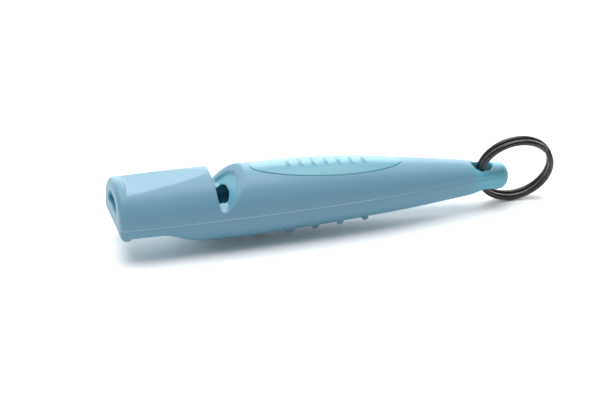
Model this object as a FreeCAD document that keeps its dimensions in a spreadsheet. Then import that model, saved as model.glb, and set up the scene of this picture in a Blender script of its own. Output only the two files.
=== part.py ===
import FreeCAD, Part
import math
import os
import Sketcher

# Pealess training whistle with a split ring.
# +X runs from the mouth to the tail, +Z is up, and the part lies on its belly and its ring at Z = 0.
# The origin is under the middle of the part's box.

doc = FreeCAD.newDocument("TrainingWhistle")
sheet = doc.addObject("Spreadsheet::Sheet", "Sizes")

sizes = {
    "mouth_x": -45.72,
    "seam_z": 7.72,
    "edge_round": 0.9,
    "tail_ball": 3.2,
    "tail_drop": 1.05,
    # beak, measured from the mouth and from the seam
    "bead_top": 1.9,
    "facet_start": 2.5,
    "facet_high": 6.1,
    "facet_low": 7.55,
    "bead_under": 2.3,
    "under_start": 2.8,
    "lip_depth": 2.7,
    "under_depth": 2.1,
    "under_end": 10.0,
    "bulge_start": 11.8,
    "bulge_start_depth": 3.0,
    "bulge_mid": 16.0,
    "bulge_mid_depth": 4.95,
    "bulge_end": 23.0,
    "bulge_end_depth": 7.4,
    # sounding notch
    "notch_wall": 20.3,
    "notch_lean": 0.35,
    "notch_floor": 1.6,
    "ramp_start": 21.9,
    "ramp_end": 27.0,
    "ramp_top": 7.65,
    "ramp_inset": 0.5,
    "ramp_rim": 1.2,
    "window_start": 20.9,
    "window_end": 23.2,
    "window_half": 3.8,
    "window_low": 2.3,
    "roof_end": 28.8,
    "roof_high": 4.6,
    # air slot and its block
    "slot_floor": 1.55,
    "slot_half": 3.9,
    "slot_side": 2.05,
    "slot_top": 4.45,
    "exit_half": 3.7,
    "exit_side": 2.0,
    "exit_top": 2.85,
    "block_front": 1.3,
    "block_end": 20.3,
    "block_half": 4.18,
    "block_low": 0.7,
    "block_round": 0.4,
    # chamber
    "chamber_front": 20.9,
    "chamber_radius": 4.7,
    "chamber_mid": 38.0,
    "chamber_back": 50.0,
    "chamber_back_radius": 4.0,
    "chamber_end": 62.0,
    "chamber_end_radius": 2.0,
    "plug_front": 43.0,
    "plug_thick": 3.0,
    # tail eye
    "eye_x": 76.45,
    "eye_middle": 1.17,
    "eye_throat": 1.9,
    "eye_waist": 0.4,
    "eye_mouth": 2.7,
    "eye_high": 4.2,
    "eye_foot": 3.1,
    "eye_low": 3.6,
    # belly studs
    "stud_radius": 0.78,
    "stud_pitch": 5.2,
    "stud_row": 4.0,
    "stud_middle": 43.0,
    # thumb pad
    "pad_middle": 43.7,
    "pad_half": 15.7,
    "pad_half_wide": 4.4,
    "pad_gap": 0.1,
    "pad_thick": 0.7,
    "pad_proud": 0.06,
    "rib_wide": 0.9,
    "rib_half": 2.2,
    "rib_proud": 0.3,
    "rib_pitch": 2.6,
    # split ring
    "ring_x": 83.3,
    "ring_y": -0.43,
    "ring_z": 7.98,
    "ring_radius": 7.6,
    "wire_radius": 0.55,
    "turn_step": 1.08,
    "ring_lean": 17.0,
    "end_gap": 0.45,
}

# One station per cross-section, evenly spaced along the body: distance from the mouth, half width at the
# seam, height above the seam, depth below it, and how square the shoulders are (0 is an oval).
stations = {
    "lip": (0.0, 8.1, 7.6, 7.0, 0.10),
    "beak": (6.8, 8.15, 7.6, 7.0, 0.10),
    "roof": (13.6, 8.15, 7.55, 7.1, 0.10),
    "notch": (20.5, 8.1, 7.45, 7.15, 0.12),
    "front": (27.3, 8.0, 7.3, 7.05, 0.12),
    "breast": (34.1, 7.75, 7.15, 6.9, 0.12),
    "mid": (41.0, 7.4, 6.85, 6.7, 0.10),
    "waist": (47.8, 6.95, 6.35, 6.4, 0.08),
    "hip": (54.7, 6.35, 5.6, 6.0, 0.06),
    "taper": (61.5, 5.4, 4.6, 5.6, 0.04),
    "neck": (68.3, 4.35, 3.6, 5.05, 0.02),
    "eye": (75.2, 3.45, 2.5, 4.45, 0.0),
    "tail": (82.0, 2.8, 1.8, 3.85, 0.0),
}

row = 1
for alias, value in sizes.items():
    sheet.set("A%d" % row, alias)
    sheet.set("B%d" % row, "%g" % value)
    sheet.setAlias("B%d" % row, alias)
    row += 1
columns = ["along", "wide", "over", "under", "square"]
for station, values in stations.items():
    for column, value in zip(columns, values):
        alias = station + "_" + column
        sheet.set("A%d" % row, alias)
        sheet.set("B%d" % row, "%g" % value)
        sheet.setAlias("B%d" % row, alias)
        row += 1
doc.recompute()


def size(alias):
    return float(sheet.get(alias))


def originPlane(body, role):
    for feature in body.Origin.OriginFeatures:
        if feature.Role == role:
            return feature
    raise RuntimeError("no plane " + role)


def newBody(name, label):
    body = doc.addObject("PartDesign::Body", name)
    body.Label = label
    return body


def newSketch(body, name, role):
    sketch = body.newObject("Sketcher::SketchObject", name)
    sketch.AttachmentSupport = (originPlane(body, role), [""])
    sketch.MapMode = "FlatFace"
    return sketch


# Each half section is a flank, a shoulder and a crown arc, mirrored. The arcs join where the outline has
# turned 22 and 68 degrees, which leaves two equations for the flank and crown radii.
joinCos = 0.9272
joinSin = 0.3746
joinSpan = joinCos - joinSin
joinSpread = joinSin * joinSin - (1.0 - joinCos) * (1.0 - joinCos)


def halfRadii(wide, high, square):
    oval = (wide * high) ** 2 / ((wide * wide + high * high) / 2.0) ** 1.5
    shoulder = oval * (1.0 - 0.9 * square)
    restWide = wide - joinSpan * shoulder
    restHigh = high - joinSpan * shoulder
    flank = (joinSin * restHigh - (1.0 - joinCos) * restWide) / joinSpread
    crown = (joinSin * restWide - (1.0 - joinCos) * restHigh) / joinSpread
    return flank, shoulder, crown


def radiusTerms(wide, high, square):
    # the same radii as sheet expressions
    oval = "((%s * %s) ^ 2 / ((%s ^ 2 + %s ^ 2) / 2) ^ 1.5)" % (wide, high, wide, high)
    shoulder = "(%s * (1 - 0.9 * %s))" % (oval, square)
    restWide = "(%s - %g * %s)" % (wide, joinSpan, shoulder)
    restHigh = "(%s - %g * %s)" % (high, joinSpan, shoulder)
    short = 1.0 - joinCos
    flank = "((%g * %s - %g * %s) / %.8g)" % (joinSin, restHigh, short, restWide, joinSpread)
    crown = "((%g * %s - %g * %s) / %.8g)" % (joinSin, restWide, short, restHigh, joinSpread)
    return flank, shoulder, crown


def halfSection(body, name, station, way, grow=0.0):
    # Half of one cross-section, above the seam (way = 1) or below it (way = -1):
    # five tangent arcs closed by a straight line in the seam plane.
    sketch = newSketch(body, name, "YZ_Plane")
    sketch.AttachmentOffset = FreeCAD.Placement(
        FreeCAD.Vector(0, size("seam_z"), size("mouth_x") + size(station + "_along")),
        FreeCAD.Rotation(0, 0, 0))
    sketch.setExpression("AttachmentOffset.Base.y", "Sizes.seam_z")
    sketch.setExpression("AttachmentOffset.Base.z", "Sizes.mouth_x + Sizes.%s_along" % station)
    highCell = station + ("_over" if way > 0 else "_under")
    wide = size(station + "_wide") + grow
    high = size(highCell) + grow
    square = size(station + "_square") * (1.0 if way > 0 else 0.15)
    flank, shoulder, crown = halfRadii(wide, high, square)
    flankY = wide - flank
    crownZ = high - crown
    shoulderY = flankY + (flank - shoulder) * joinCos
    shoulderZ = (flank - shoulder) * joinSin
    low = math.atan2(joinSin, joinCos)
    up = math.pi / 2.0 - low
    turn = 0.0 if way > 0 else math.pi
    arcs = [
        (flankY, 0.0, flank, 0.0, low),
        (shoulderY, shoulderZ, shoulder, low, up),
        (0.0, crownZ, crown, up, math.pi - up),
        (-shoulderY, shoulderZ, shoulder, math.pi - up, math.pi - low),
        (-flankY, 0.0, flank, math.pi - low, math.pi),
    ]
    for y, z, radius, start, end in arcs:
        circle = Part.Circle(FreeCAD.Vector(way * y, way * z, 0), FreeCAD.Vector(0, 0, 1), radius)
        sketch.addGeometry(Part.ArcOfCircle(circle, start + turn, end + turn), False)
    sketch.addGeometry(Part.LineSegment(
        FreeCAD.Vector(-way * wide, 0, 0), FreeCAD.Vector(way * wide, 0, 0)), False)
    for arc in range(4):
        sketch.addConstraint(Sketcher.Constraint("Tangent", arc, 2, arc + 1, 1))
    sketch.addConstraint(Sketcher.Constraint("Coincident", 4, 2, 5, 1))
    sketch.addConstraint(Sketcher.Constraint("Coincident", 0, 1, 5, 2))
    sketch.addConstraint(Sketcher.Constraint("PointOnObject", 0, 1, -1))
    sketch.addConstraint(Sketcher.Constraint("Symmetric", 0, 1, 4, 2, -2))
    sketch.addConstraint(Sketcher.Constraint("PointOnObject", 0, 3, -1))
    sketch.addConstraint(Sketcher.Constraint("PointOnObject", 4, 3, -1))
    sketch.addConstraint(Sketcher.Constraint("PointOnObject", 2, 3, -2))
    sketch.addConstraint(Sketcher.Constraint("Equal", 0, 4))
    sketch.addConstraint(Sketcher.Constraint("Equal", 1, 3))
    wideTerm = "(Sizes.%s_wide + %g)" % (station, grow)
    highTerm = "(Sizes.%s + %g)" % (highCell, grow)
    squareTerm = "(Sizes.%s_square * %g)" % (station, 1.0 if way > 0 else 0.15)
    flankTerm, shoulderTerm, crownTerm = radiusTerms(wideTerm, highTerm, squareTerm)
    rows = [
        (Sketcher.Constraint("DistanceX", -1, 1, 0, 1, way * wide), "%d * %s" % (way, wideTerm)),
        (Sketcher.Constraint("Radius", 0, flank), flankTerm),
        (Sketcher.Constraint("Radius", 1, shoulder), shoulderTerm),
        (Sketcher.Constraint("Radius", 2, crown), crownTerm),
        (Sketcher.Constraint("DistanceY", -1, 1, 2, 3, way * crownZ),
         "%d * (%s - %s)" % (way, highTerm, crownTerm)),
    ]
    for constraint, expression in rows:
        index = sketch.addConstraint(constraint)
        sketch.setExpression("Constraints[%d]" % index, expression)
    return sketch


def bodyLoft(body, label, way, names, grow=0.0):
    sections = [halfSection(body, label + name.capitalize(), name, way, grow) for name in names]
    loft = body.newObject("PartDesign::AdditiveLoft", label + "Loft")
    loft.Profile = sections[0]
    loft.Sections = sections[1:]
    loft.Ruled = False
    doc.recompute()
    return loft


def term(base, sign, alias, extra):
    value = size(base) if base else 0.0
    text = "Sizes." + base if base else "0"
    if alias:
        value += sign * size(alias)
        text += (" + " if sign > 0 else " - ") + "Sizes." + alias
    return value + extra, text + " + %g" % extra


def profile(body, name, points, role="XZ_Plane"):
    # A closed polygon. Each corner is (alias, extra, sign, alias, extra): along from the mouth, then up
    # (sign 1) or down (sign -1) from the seam.
    sketch = newSketch(body, name, role)
    corners = []
    for along, alongExtra, sign, high, highExtra in points:
        corners.append(term("mouth_x", 1, along, alongExtra) + term("seam_z", sign, high, sign * highExtra))
    count = len(corners)
    for index, corner in enumerate(corners):
        after = corners[(index + 1) % count]
        sketch.addGeometry(Part.LineSegment(
            FreeCAD.Vector(corner[0], corner[2], 0), FreeCAD.Vector(after[0], after[2], 0)), False)
    for index in range(count):
        sketch.addConstraint(Sketcher.Constraint("Coincident", index, 2, (index + 1) % count, 1))
    for index, corner in enumerate(corners):
        for kind, value, text in (("DistanceX", corner[0], corner[1]), ("DistanceY", corner[2], corner[3])):
            place = sketch.addConstraint(Sketcher.Constraint(kind, -1, 1, index, 1, value))
            sketch.setExpression("Constraints[%d]" % place, text)
    return sketch


def sidePocket(body, name, points, halfWide=None):
    # cuts the side profile out, the same distance to each side of the middle
    sketch = profile(body, name + "Profile", points)
    before = body.Shape.Volume
    pocket = body.newObject("PartDesign::Pocket", name)
    pocket.Profile = sketch
    pocket.Midplane = True
    pocket.Length = 60.0
    if halfWide:
        pocket.setExpression("Length", "2 * Sizes." + halfWide)
    doc.recompute()
    if not body.Shape.Volume < before - 0.01:
        raise RuntimeError(name + " cuts nothing")
    return pocket


def edgesAcross(shape, along, high, reach=0.05):
    # names of the straight edges along Y at this place in the side view
    names = []
    for index, edge in enumerate(shape.Edges):
        spots = [edge.valueAt(edge.FirstParameter + k * (edge.LastParameter - edge.FirstParameter) / 4.0)
                 for k in range(5)]
        if all(abs(spot.x - size("mouth_x") - along) < reach and abs(spot.z - size("seam_z") - high) < reach
               for spot in spots):
            names.append("Edge%d" % (index + 1))
    return names


def edgesAtEnd(shape, x, keepClear):
    # names of the outline edges of the end face at x, without the one in the seam plane
    names = []
    for index, edge in enumerate(shape.Edges):
        box = edge.BoundBox
        if abs(box.XMin - x) < 1e-3 and abs(box.XMax - x) < 1e-3:
            if abs(box.ZMin - keepClear) > 1e-3 or abs(box.ZMax - keepClear) > 1e-3:
                names.append("Edge%d" % (index + 1))
    return names


def roundEdges(body, name, names, radius, text=None):
    if not names:
        raise RuntimeError(name + " finds no edges")
    fillet = body.newObject("PartDesign::Fillet", name)
    fillet.Base = (body.Tip if body.Tip != fillet else fillet.BaseFeature, names)
    fillet.Radius = radius
    if text:
        fillet.setExpression("Radius", text)
    doc.recompute()
    if "Invalid" in fillet.State or not body.Shape.isValid():
        raise RuntimeError(name + " fails")
    return fillet


def wallAt(column, along):
    # value of one station column between the stations
    names = list(stations)
    for first, second in zip(names, names[1:]):
        low = size(first + "_along")
        high = size(second + "_along")
        if low <= along <= high:
            share = (along - low) / (high - low)
            return size(first + column) * (1 - share) + size(second + column) * share
    return size(names[-1] + column)


def turnedCut(body, name, outline, x, z, axis, texts):
    # Groove turned about the sketch's own axis through (x, z). The outline is a closed chain of lines and
    # arcs in the side view, with (x, z) as its origin: two points make a line and three make an arc.
    sketch = newSketch(body, name + "Profile", "XZ_Plane")
    sketch.AttachmentOffset = FreeCAD.Placement(FreeCAD.Vector(x, z, 0), FreeCAD.Rotation(0, 0, 0))
    sketch.setExpression("AttachmentOffset.Base.x", texts[0])
    sketch.setExpression("AttachmentOffset.Base.y", texts[1])
    for piece in outline:
        spots = [FreeCAD.Vector(spot[0], spot[1], 0) for spot in piece]
        if len(spots) == 2:
            sketch.addGeometry(Part.LineSegment(spots[0], spots[1]), False)
        else:
            sketch.addGeometry(Part.Arc(spots[0], spots[1], spots[2]), False)
    doc.recompute()
    before = body.Shape.Volume
    groove = body.newObject("PartDesign::Groove", name)
    groove.Profile = sketch
    groove.ReferenceAxis = (sketch, [axis])
    groove.Angle = 360.0
    doc.recompute()
    if not body.Shape.Volume < before - 0.01:
        raise RuntimeError(name + " cuts nothing")
    return groove, sketch


def bindSpots(sketch, rows):
    # rows of (constraint kind, geometry, end, value, sheet expression), measured from the sketch's origin
    for kind, item, end, value, text in rows:
        place = sketch.addConstraint(Sketcher.Constraint(kind, -1, 1, item, end, value))
        sketch.setExpression("Constraints[%d]" % place, text)


def eyeCut(body, name):
    # hourglass hole through the tail, with room for the ring's wire to swing about its upright axis
    high = size("eye_high")
    low = size("eye_low")
    waist = size("eye_waist")
    throat = size("eye_throat")
    mouth = size("eye_mouth")
    foot = size("eye_foot")
    outline = [
        ((0, -low), (foot, -low)),
        ((foot, -low), (throat, waist), (mouth, high)),
        ((mouth, high), (0, high)),
        ((0, high), (0, -low)),
    ]
    groove, sketch = turnedCut(
        body, name, outline, size("mouth_x") + size("eye_x"), size("seam_z") - size("eye_middle"),
        "V_Axis", ("Sizes.mouth_x + Sizes.eye_x", "Sizes.seam_z - Sizes.eye_middle"))
    bindSpots(sketch, [
        ("DistanceX", 0, 1, 0, "0"),
        ("DistanceY", 0, 1, -low, "-Sizes.eye_low"),
        ("DistanceX", 0, 2, foot, "Sizes.eye_foot"),
        ("DistanceX", 2, 1, mouth, "Sizes.eye_mouth"),
        ("DistanceX", 2, 2, 0, "0"),
        ("DistanceY", 2, 2, high, "Sizes.eye_high"),
    ])
    return groove


def tailCut(body, name):
    # rounds the tail end like the end of a rod
    radius = size("tail_ball")
    out = radius + 4.0
    outline = [
        ((0, radius), (0, out)),
        ((0, out), (out, out)),
        ((out, out), (out, 0)),
        ((out, 0), (radius, 0)),
        ((radius, 0), (radius * 0.70710678, radius * 0.70710678), (0, radius)),
    ]
    groove, sketch = turnedCut(
        body, name, outline,
        size("mouth_x") + size("tail_along") - radius, size("seam_z") - size("tail_drop"),
        "H_Axis", ("Sizes.mouth_x + Sizes.tail_along - Sizes.tail_ball", "Sizes.seam_z - Sizes.tail_drop"))
    bindSpots(sketch, [
        ("DistanceX", 0, 1, 0, "0"),
        ("DistanceY", 0, 1, radius, "Sizes.tail_ball"),
        ("DistanceX", 3, 2, radius, "Sizes.tail_ball"),
    ])
    return groove


def chamberCut(body, name, front):
    # turned resonating chamber about the body's middle line, from the given distance behind the mouth
    start = size(front)
    spots = [
        (start, 0.0), (start, size("chamber_radius")), (size("chamber_mid"), size("chamber_radius")),
        (size("chamber_back"), size("chamber_back_radius")),
        (size("chamber_end"), size("chamber_end_radius")), (size("chamber_end"), 0.0),
    ]
    outline = [(spot, spots[(index + 1) % len(spots)]) for index, spot in enumerate(spots)]
    groove, sketch = turnedCut(
        body, name, outline, size("mouth_x"), size("seam_z"), "H_Axis", ("Sizes.mouth_x", "Sizes.seam_z"))
    rows = []
    cells = [(front, None), (front, "chamber_radius"), ("chamber_mid", "chamber_radius"),
             ("chamber_back", "chamber_back_radius"), ("chamber_end", "chamber_end_radius"),
             ("chamber_end", None)]
    for index, cell in enumerate(cells):
        rows.append(("DistanceX", index, 1, spots[index][0], "Sizes." + cell[0]))
        rows.append(("DistanceY", index, 1, spots[index][1], "Sizes." + cell[1] if cell[1] else "0"))
    bindSpots(sketch, rows)
    return groove


def slotSection(body, name, along, half, side, top):
    # D-shaped section of the air slot: straight floor and sides with a bowed roof
    sketch = newSketch(body, name, "YZ_Plane")
    sketch.AttachmentOffset = FreeCAD.Placement(
        FreeCAD.Vector(0, size("seam_z"), size("mouth_x") + along), FreeCAD.Rotation(0, 0, 0))
    sketch.setExpression("AttachmentOffset.Base.y", "Sizes.seam_z")
    wide = size(half)
    low = size("slot_floor")
    spots = [(-wide, low), (wide, low), (wide, size(side)), (0.0, size(top)), (-wide, size(side))]
    vectors = [FreeCAD.Vector(spot[0], spot[1], 0) for spot in spots]
    sketch.addGeometry(Part.LineSegment(vectors[0], vectors[1]), False)
    sketch.addGeometry(Part.LineSegment(vectors[1], vectors[2]), False)
    sketch.addGeometry(Part.Arc(vectors[2], vectors[3], vectors[4]), False)
    sketch.addGeometry(Part.LineSegment(vectors[4], vectors[0]), False)
    bindSpots(sketch, [
        ("DistanceX", 0, 1, -wide, "-Sizes." + half),
        ("DistanceY", 0, 1, low, "Sizes.slot_floor"),
        ("DistanceY", 0, 2, low, "Sizes.slot_floor"),
        ("DistanceX", 0, 2, wide, "Sizes." + half),
        ("DistanceX", 1, 2, wide, "Sizes." + half),
        ("DistanceY", 1, 2, size(side), "Sizes." + side),
        ("DistanceX", 3, 1, -wide, "-Sizes." + half),
        ("DistanceY", 3, 1, size(side), "Sizes." + side),
    ])
    return sketch


def makeUpperHalf():
    upper = newBody("UpperHalf", "upper_half")
    bodyLoft(upper, "Upper", 1, list(stations))
    tailCut(upper, "UpperTail")
    # flat facet along the beak's roof, which leaves a bead at the mouth
    sidePocket(upper, "BeakFacet", [
        ("bead_top", -0.2, 1, "", 14.0), ("bead_top", 0.0, 1, "facet_high", 0.45),
        ("facet_start", 0.0, 1, "facet_high", 0.0), ("notch_wall", 1.0, 1, "facet_low", 0.0),
        ("notch_wall", 1.0, 1, "", 14.0)])
    # sounding notch: beak wall, small floor and ramp
    sidePocket(upper, "Notch", [
        ("notch_wall", 0.0, 1, "notch_floor", 0.0), ("ramp_start", 0.0, 1, "notch_floor", 0.0),
        ("ramp_end", 0.0, 1, "ramp_top", 0.0), ("ramp_end", 5.0, 1, "ramp_top", 5.78),
        ("notch_wall", -1.0, 1, "ramp_top", 5.78)])
    roundEdges(upper, "MouthRound", edgesAtEnd(upper.Shape, size("mouth_x"), size("seam_z")),
               size("edge_round"), "Sizes.edge_round")
    roundEdges(upper, "NotchRound",
               edgesAcross(upper.Shape, size("ramp_start"), size("notch_floor"))
               + edgesAcross(upper.Shape, size("notch_wall"), size("notch_floor")), 0.6)
    # air slot from the mouth to the notch
    mouthSlot = slotSection(upper, "SlotMouth", 0.0, "slot_half", "slot_side", "slot_top")
    exitSlot = slotSection(upper, "SlotExit", size("notch_wall"), "exit_half", "exit_side", "exit_top")
    exitSlot.setExpression("AttachmentOffset.Base.z", "Sizes.mouth_x + Sizes.notch_wall")
    mouthSlot.setExpression("AttachmentOffset.Base.z", "Sizes.mouth_x")
    before = upper.Shape.Volume
    slot = upper.newObject("PartDesign::SubtractiveLoft", "AirSlot")
    slot.Profile = mouthSlot
    slot.Sections = [exitSlot]
    slot.Ruled = True
    doc.recompute()
    if not upper.Shape.Volume < before - 1.0:
        raise RuntimeError("air slot cuts nothing")
    sidePocket(upper, "BlockSpace", [
        ("block_front", 0.0, 1, "", -1.0), ("block_front", 0.0, 1, "slot_floor", 0.02),
        ("window_start", 0.1, 1, "slot_floor", 0.02), ("window_start", 0.1, 1, "", -1.0)], "block_half")
    # window under the ramp's edge, then the chamber behind it
    sidePocket(upper, "Window", [
        ("window_start", 0.0, 1, "", -1.0), ("window_start", 0.0, 1, "notch_floor", 2.2),
        ("window_end", 0.0, 1, "notch_floor", 2.2), ("window_end", 0.0, 1, "window_low", 0.0),
        ("roof_end", 0.0, 1, "roof_high", 0.0), ("roof_end", 0.0, 1, "", -1.0)], "window_half")
    chamberCut(upper, "UpperChamber", "roof_end")
    eyeCut(upper, "UpperEye")
    return upper


def makeLowerHalf():
    lower = newBody("LowerHalf", "lower_half")
    bodyLoft(lower, "Lower", -1, list(stations))
    tailCut(lower, "LowerTail")
    roundEdges(lower, "MouthRoundLow", edgesAtEnd(lower.Shape, size("mouth_x"), size("seam_z")),
               size("edge_round"), "Sizes.edge_round")
    # cut-away under the beak, which leaves the lower lip, and the belly's front
    # with its front edge eased in three facets and the belly's bulge in five
    sidePocket(lower, "BeakUnderside", [
        ("", -2.0, -1, "lip_depth", -1.3), ("", 0.0, -1, "lip_depth", -1.15),
        ("", 0.3, -1, "lip_depth", -0.5), ("", 0.85, -1, "lip_depth", -0.1),
        ("bead_under", -0.5, -1, "lip_depth", 0.0), ("bead_under", 0.0, -1, "lip_depth", -0.12),
        ("under_start", 0.0, -1, "under_depth", 0.0), ("under_end", 0.0, -1, "under_depth", 0.1),
        ("bulge_start", -0.8, -1, "bulge_start_depth", -0.4),
        ("bulge_start", 0.6, -1, "bulge_start_depth", 0.3),
        ("bulge_mid", -1.6, -1, "bulge_mid_depth", -0.75), ("bulge_mid", 0.0, -1, "bulge_mid_depth", 0.0),
        ("bulge_mid", 1.6, -1, "bulge_mid_depth", 0.65), ("bulge_end", 0.0, -1, "bulge_end_depth", 0.0),
        ("bulge_end", 0.0, -1, "", 14.0), ("", -2.0, -1, "", 14.0)])
    # seat of the windway block
    sidePocket(lower, "BlockSeat", [
        ("block_front", -0.01, -1, "block_low", 0.0), ("block_front", -0.01, 1, "", 1.0),
        ("chamber_front", 0.1, 1, "", 1.0), ("chamber_front", 0.1, -1, "block_low", 0.0)], "block_half")
    chamberCut(lower, "LowerChamber", "chamber_front")
    eyeCut(lower, "LowerEye")
    addStuds(lower)
    return lower


def addStuds(lower):
    # oval field of grip studs on the belly, in three rows
    count = 0
    for rowSide, along in ((0, (-2.5, -1.5, -0.5, 0.5, 1.5, 2.5)), (-1, (-1.5, -0.5, 0.5, 1.5)),
                           (1, (-1.5, -0.5, 0.5, 1.5))):
        for step in along:
            distance = size("stud_middle") + step * size("stud_pitch")
            y = rowSide * size("stud_row")
            wide = wallAt("_wide", distance)
            under = wallAt("_under", distance)
            z = size("seam_z") - under * math.sqrt(1.0 - (y / wide) ** 2) + 0.05
            stud = lower.newObject("PartDesign::AdditiveSphere", "Stud%d" % count)
            stud.Radius = size("stud_radius")
            stud.setExpression("Radius", "Sizes.stud_radius")
            stud.Placement = FreeCAD.Placement(
                FreeCAD.Vector(size("mouth_x") + distance, y, z), FreeCAD.Rotation(0, 0, 0))
            stud.setExpression(
                "Placement.Base.x",
                "Sizes.mouth_x + Sizes.stud_middle + %g * Sizes.stud_pitch" % step)
            stud.setExpression("Placement.Base.y", "%d * Sizes.stud_row" % rowSide)
            count += 1
    doc.recompute()


def ovalPrism(name, gapCell=None):
    # upright oval column over the thumb pad
    body = newBody(name, name)
    sketch = newSketch(body, name + "Outline", "XY_Plane")
    gap = size(gapCell) if gapCell else 0.0
    x = size("mouth_x") + size("pad_middle")
    ellipse = Part.Ellipse(FreeCAD.Vector(x, 0, 0), size("pad_half") + gap, size("pad_half_wide") + gap)
    sketch.addGeometry(ellipse, False)
    sketch.exposeInternalGeometry(0)
    gapText = " + Sizes." + gapCell if gapCell else ""
    rows = [
        (Sketcher.Constraint("DistanceX", -1, 1, 0, 3, x), "Sizes.mouth_x + Sizes.pad_middle"),
        (Sketcher.Constraint("DistanceX", 1, 1, 1, 2, 2 * (size("pad_half") + gap)),
         "2 * (Sizes.pad_half%s)" % gapText),
        (Sketcher.Constraint("DistanceY", 2, 1, 2, 2, 2 * (size("pad_half_wide") + gap)),
         "2 * (Sizes.pad_half_wide%s)" % gapText),
    ]
    sketch.addConstraint(Sketcher.Constraint("PointOnObject", 0, 3, -1))
    sketch.addConstraint(Sketcher.Constraint("Horizontal", 1))
    for constraint, text in rows:
        place = sketch.addConstraint(constraint)
        sketch.setExpression("Constraints[%d]" % place, text)
    column = body.newObject("PartDesign::Pad", name + "Column")
    column.Profile = sketch
    column.Length = 30.0
    doc.recompute()
    return body


def ribPrism(name):
    # columns of the cross ribs: round-ended slots across the pad
    body = newBody(name, name)
    sketch = newSketch(body, name + "Outline", "XY_Plane")
    half = size("rib_wide") / 2.0
    item = 0
    for step in (-3, -2, -1, 0, 1, 2, 3):
        x = size("mouth_x") + size("pad_middle") + step * size("rib_pitch")
        reach = size("rib_half") * (1.0 - 0.03 * step * step)
        straight = reach - half
        low = FreeCAD.Vector(x - half, -straight, 0)
        right = FreeCAD.Vector(x + half, -straight, 0)
        top = FreeCAD.Vector(x + half, straight, 0)
        left = FreeCAD.Vector(x - half, straight, 0)
        sketch.addGeometry(Part.Arc(low, FreeCAD.Vector(x, -reach, 0), right), False)
        sketch.addGeometry(Part.LineSegment(right, top), False)
        sketch.addGeometry(Part.Arc(top, FreeCAD.Vector(x, reach, 0), left), False)
        sketch.addGeometry(Part.LineSegment(left, low), False)
        place = sketch.addConstraint(Sketcher.Constraint("Radius", item, half))
        sketch.setExpression("Constraints[%d]" % place, "Sizes.rib_wide / 2")
        item += 4
    column = body.newObject("PartDesign::Pad", name + "Column")
    column.Profile = sketch
    column.Length = 30.0
    doc.recompute()
    return body


def combine(kind, name, base, tool):
    item = doc.addObject(kind, name)
    if kind == "Part::Cut":
        item.Base = base
        item.Tool = tool
    else:
        item.Shapes = [base, tool]
    doc.recompute()
    if item.Shape.isNull() or not item.Shape.isValid() or item.Shape.Volume < 0.01:
        raise RuntimeError(name + " comes out empty")
    return item


def crownSlab(name, label, grow):
    # the top of the body over the thumb pad, moved out (grow > 0) or in
    body = newBody(name, label)
    bodyLoft(body, name, 1, ["notch", "front", "breast", "mid", "waist", "hip", "taper", "neck"], grow)
    return body


def makeThumbPad():
    core = crownSlab("PadCore", "pad_core", -size("pad_thick"))
    skin = crownSlab("PadSkin", "pad_skin", size("pad_proud"))
    column = ovalPrism("PadOutlineColumn")
    blank = combine("Part::MultiCommon", "PadBlank", skin, column)
    pad = combine("Part::Cut", "PadPlate", blank, core)
    ribSkin = crownSlab("RibSkin", "rib_skin", size("rib_proud"))
    ribs = combine("Part::MultiCommon", "RibBlank", ribSkin, ribPrism("RibColumn"))
    ribPlates = combine("Part::Cut", "RibPlates", ribs, core)
    whole = combine("Part::MultiFuse", "ThumbPad", pad, ribPlates)
    # the hole that the pad sits in is the same shape, a little wider
    high = crownSlab("PadSeatSkin", "pad_seat_skin", 1.5)
    seatColumn = ovalPrism("PadSeatColumn", "pad_gap")
    seatBlank = combine("Part::MultiCommon", "PadSeatBlank", high, seatColumn)
    seat = combine("Part::Cut", "PadSeat", seatBlank, core)
    return whole, seat


def makeRampTool():
    # D-shaped shallow recess in the ramp, an even rim inside its outline
    inner = newBody("RampCore", "ramp_core")
    bodyLoft(inner, "RampCore", 1, ["roof", "notch", "front", "breast"], -size("ramp_rim"))
    wedge = newBody("RampWedge", "ramp_wedge")
    sketch = profile(wedge, "RampWedgeProfile", [
        ("notch_wall", 0.6, 1, "notch_floor", 0.3), ("ramp_start", 0.45, 1, "notch_floor", -0.25),
        ("ramp_end", 0.45, 1, "ramp_top", -0.25), ("ramp_end", 4.0, 1, "ramp_top", 4.3),
        ("notch_wall", 0.6, 1, "ramp_top", 4.3)])
    pad = wedge.newObject("PartDesign::Pad", "RampWedgePad")
    pad.Profile = sketch
    pad.Midplane = True
    pad.Length = 11.2
    doc.recompute()
    return combine("Part::MultiCommon", "RampTool", inner, wedge)


def makeBlock():
    block = newBody("WindwayBlock", "windway_block")
    sketch = profile(block, "BlockProfile", [
        ("block_front", 0.0, -1, "block_low", 0.0), ("block_end", 0.0, -1, "block_low", 0.0),
        ("block_end", 0.0, 1, "slot_floor", -0.35), ("block_end", -3.0, 1, "slot_floor", 0.0),
        ("block_front", 0.0, 1, "slot_floor", 0.0)])
    pad = block.newObject("PartDesign::Pad", "BlockPad")
    pad.Profile = sketch
    pad.Midplane = True
    pad.setExpression("Length", "2 * Sizes.block_half")
    doc.recompute()
    roundEdges(block, "BlockRound", edgesAcross(block.Shape, size("block_front"), size("slot_floor")),
               size("block_round"), "Sizes.block_round")
    return block


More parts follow.
